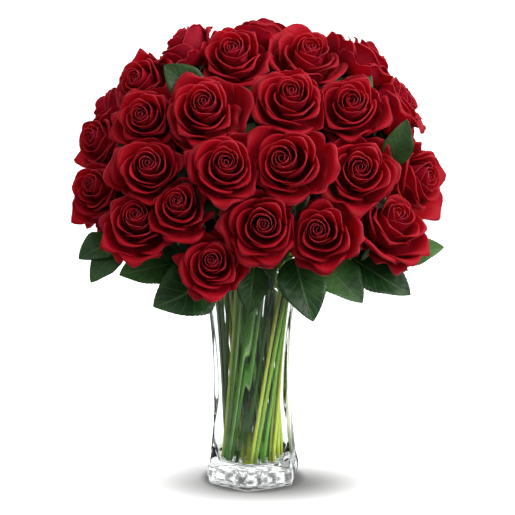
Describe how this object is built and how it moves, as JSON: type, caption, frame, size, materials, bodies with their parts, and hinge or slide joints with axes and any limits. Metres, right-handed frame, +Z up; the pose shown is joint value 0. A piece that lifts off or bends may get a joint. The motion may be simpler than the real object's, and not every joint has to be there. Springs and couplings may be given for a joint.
{
  "type": "roses in a vase",
  "caption": "Dense dome of red roses with collar leaves, in a tall flared six-sided clear glass vase of water.",
  "frame": {"origin": "centre of the vase's flat underside", "axes": "+Z up along the vase, -Y towards the front of the arrangement, +X to its right"},
  "size_m": [0.4157, 0.3097, 0.5267],
  "materials": {
    "petal": "soft velvety rose petal, deep red, darker in the folds",
    "stem": "smooth fresh green stem, satin",
    "leaf": "dark green rose leaf, satin",
    "glass": "clear pressed glass, polished",
    "water": "clear water"
  },
  "bodies": {
    "root": {"bloom_back_far_left": "petal", "bloom_back_far_right": "petal", "bloom_back_high_far_left": "petal", "bloom_back_high_left": "petal", "bloom_back_high_middle": "petal", "bloom_back_high_right": "petal", "bloom_back_left": "petal", "bloom_back_middle": "petal", "bloom_back_right": "petal", "bloom_crown_back": "petal", "bloom_crown_front": "petal", "bloom_crown_left": "petal", "bloom_crown_right": "petal", "bloom_high_far_left": "petal", "bloom_high_far_right": "petal", "bloom_high_front_left": "petal", "bloom_high_front_right": "petal", "bloom_high_left": "petal", "bloom_high_left_back": "petal", "bloom_high_right": "petal", "bloom_low_far_left": "petal", "bloom_low_far_right": "petal", "bloom_low_front": "petal", "bloom_low_left": "petal", "bloom_low_right": "petal", "bloom_lowest": "petal", "bloom_mid_far_left": "petal", "bloom_mid_front": "petal", "bloom_mid_left": "petal", "bloom_mid_right": "petal", "bloom_side_left": "petal", "bloom_side_left_high": "petal", "bloom_side_left_low": "petal", "bloom_side_right": "petal", "bloom_side_right_back": "petal", "bloom_top": "petal", "spray_1": "leaf", "spray_2": "leaf", "spray_3": "leaf", "spray_4": "leaf", "spray_5": "leaf", "spray_6": "leaf", "stems_01": "stem", "stems_02": "stem", "stems_03": "stem", "stems_04": "stem", "stems_05": "stem", "stems_06": "stem", "stems_07": "stem", "stems_08": "stem", "stems_09": "stem", "stems_10": "stem", "stems_11": "stem", "stems_12": "stem", "stems_13": "stem", "stems_14": "stem", "stems_15": "stem", "stems_16": "stem", "vase": "glass", "water": "water"}
  },
  "joints": []
}
